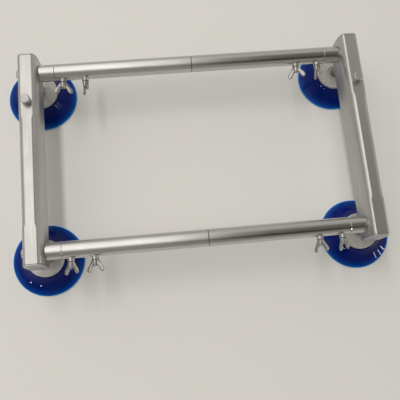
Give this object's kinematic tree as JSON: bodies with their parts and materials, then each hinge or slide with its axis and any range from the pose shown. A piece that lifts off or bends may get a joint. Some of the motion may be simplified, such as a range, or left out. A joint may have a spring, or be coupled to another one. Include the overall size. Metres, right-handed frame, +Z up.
{
  "type": "suction lifter",
  "caption": "Carrying frame for flat panels: grip bars joined by telescopic cross tubes with wing-screw locks, and a clear blue suction cup under each corner.",
  "frame": {"origin": "centre of the frame, on the surface that the cups stand on", "axes": "+X along the cross tubes to the right, +Y to the rear, +Z up"},
  "size_m": [0.574, 0.366, 0.125],
  "materials": {
    "bar_aluminium": "satin extruded aluminium, edges eased by hand",
    "cap_aluminium": "satin",
    "tube_steel": "polished stainless tube",
    "rod_steel": "ground",
    "cup_blue": "glossy clear blue",
    "hub_metal": "matt cast",
    "wing_zinc": "zinc plated",
    "stud_steel": "turned",
    "fastener_steel": "zinc plated"
  },
  "bodies": {
    "left_end": {"left_bar": "bar_aluminium", "left_rod_plugs": "rod_steel", "left_rod_screws": "fastener_steel", "left_bar_nuts": "fastener_steel", "left_top_screw": "stud_steel", "left_front_end_cap": "cap_aluminium", "left_front_collar": "tube_steel", "left_front_rod": "rod_steel", "left_front_cup": "cup_blue", "left_front_hub_plate": "hub_metal", "left_front_stem": "fastener_steel", "left_front_cup_bolt": "fastener_steel", "left_rear_end_cap": "cap_aluminium", "left_rear_collar": "tube_steel", "left_rear_rod": "rod_steel", "left_rear_cup": "cup_blue", "left_rear_hub_plate": "hub_metal", "left_rear_stem": "fastener_steel", "left_rear_cup_bolt": "fastener_steel"},
    "right_end": {"right_bar": "bar_aluminium", "right_rod_plugs": "rod_steel", "right_rod_screws": "fastener_steel", "right_bar_nuts": "fastener_steel", "right_top_screw": "stud_steel", "right_front_end_cap": "cap_aluminium", "right_front_collar": "tube_steel", "right_front_rod": "rod_steel", "right_front_cup": "cup_blue", "right_front_hub_plate": "hub_metal", "right_front_stem": "fastener_steel", "right_front_cup_bolt": "fastener_steel", "right_rear_end_cap": "cap_aluminium", "right_rear_collar": "tube_steel", "right_rear_rod": "rod_steel", "right_rear_cup": "cup_blue", "right_rear_hub_plate": "hub_metal", "right_rear_stem": "fastener_steel", "right_rear_cup_bolt": "fastener_steel"},
    "front_tube": {"left_front_sleeve": "tube_steel", "right_front_sleeve": "tube_steel", "front_joiner": "rod_steel", "left_front_screw_bosses": "fastener_steel", "right_front_screw_bosses": "fastener_steel"},
    "rear_tube": {"left_rear_sleeve": "tube_steel", "right_rear_sleeve": "tube_steel", "rear_joiner": "rod_steel", "left_rear_screw_bosses": "fastener_steel", "right_rear_screw_bosses": "fastener_steel"},
    "front_left_outer_wing_screw": {"front_left_outer_wing_screw": "wing_zinc"},
    "front_left_inner_wing_screw": {"front_left_inner_wing_screw": "wing_zinc"},
    "front_right_inner_wing_screw": {"front_right_inner_wing_screw": "wing_zinc"},
    "front_right_outer_wing_screw": {"front_right_outer_wing_screw": "wing_zinc"},
    "rear_left_outer_wing_screw": {"rear_left_outer_wing_screw": "wing_zinc"},
    "rear_left_inner_wing_screw": {"rear_left_inner_wing_screw": "wing_zinc"},
    "rear_right_inner_wing_screw": {"rear_right_inner_wing_screw": "wing_zinc"},
    "rear_right_outer_wing_screw": {"rear_right_outer_wing_screw": "wing_zinc"}
  },
  "joints": [
    {"name": "front_tube_slide", "type": "slide", "parent": "left_end", "child": "front_tube", "axis": [1, 0, 0], "range_m": [0, 0.1]},
    {"name": "rear_tube_slide", "type": "slide", "parent": "left_end", "child": "rear_tube", "axis": [1, 0, 0], "range_m": [0, 0.1]},
    {"name": "right_end_slide", "type": "slide", "parent": "front_tube", "child": "right_end", "axis": [1, 0, 0], "range_m": [0, 0.1]},
    {"name": "front_left_outer_wing_screw_turn", "type": "hinge", "parent": "front_tube", "child": "front_left_outer_wing_screw", "pos_m": [-0.187, -0.13, 0.09], "axis": [0, -1, 0], "range_deg": [0, 450]},
    {"name": "front_left_inner_wing_screw_turn", "type": "hinge", "parent": "front_tube", "child": "front_left_inner_wing_screw", "pos_m": [-0.155, -0.13, 0.09], "axis": [0, -1, 0], "range_deg": [0, 450]},
    {"name": "front_right_inner_wing_screw_turn", "type": "hinge", "parent": "front_tube", "child": "front_right_inner_wing_screw", "pos_m": [0.155, -0.13, 0.09], "axis": [0, -1, 0], "range_deg": [0, 450]},
    {"name": "front_right_outer_wing_screw_turn", "type": "hinge", "parent": "front_tube", "child": "front_right_outer_wing_screw", "pos_m": [0.187, -0.13, 0.09], "axis": [0, -1, 0], "range_deg": [0, 450]},
    {"name": "rear_left_outer_wing_screw_turn", "type": "hinge", "parent": "rear_tube", "child": "rear_left_outer_wing_screw", "pos_m": [-0.187, 0.13, 0.09], "axis": [0, -1, 0], "range_deg": [0, 450]},
    {"name": "rear_left_inner_wing_screw_turn", "type": "hinge", "parent": "rear_tube", "child": "rear_left_inner_wing_screw", "pos_m": [-0.155, 0.13, 0.09], "axis": [0, -1, 0], "range_deg": [0, 450]},
    {"name": "rear_right_inner_wing_screw_turn", "type": "hinge", "parent": "rear_tube", "child": "rear_right_inner_wing_screw", "pos_m": [0.155, 0.13, 0.09], "axis": [0, -1, 0], "range_deg": [0, 450]},
    {"name": "rear_right_outer_wing_screw_turn", "type": "hinge", "parent": "rear_tube", "child": "rear_right_outer_wing_screw", "pos_m": [0.187, 0.13, 0.09], "axis": [0, -1, 0], "range_deg": [0, 450]}
  ],
  "couplings": [
    {"joint": "rear_tube_slide", "follows": "front_tube_slide", "ratio": 1}
  ]
}
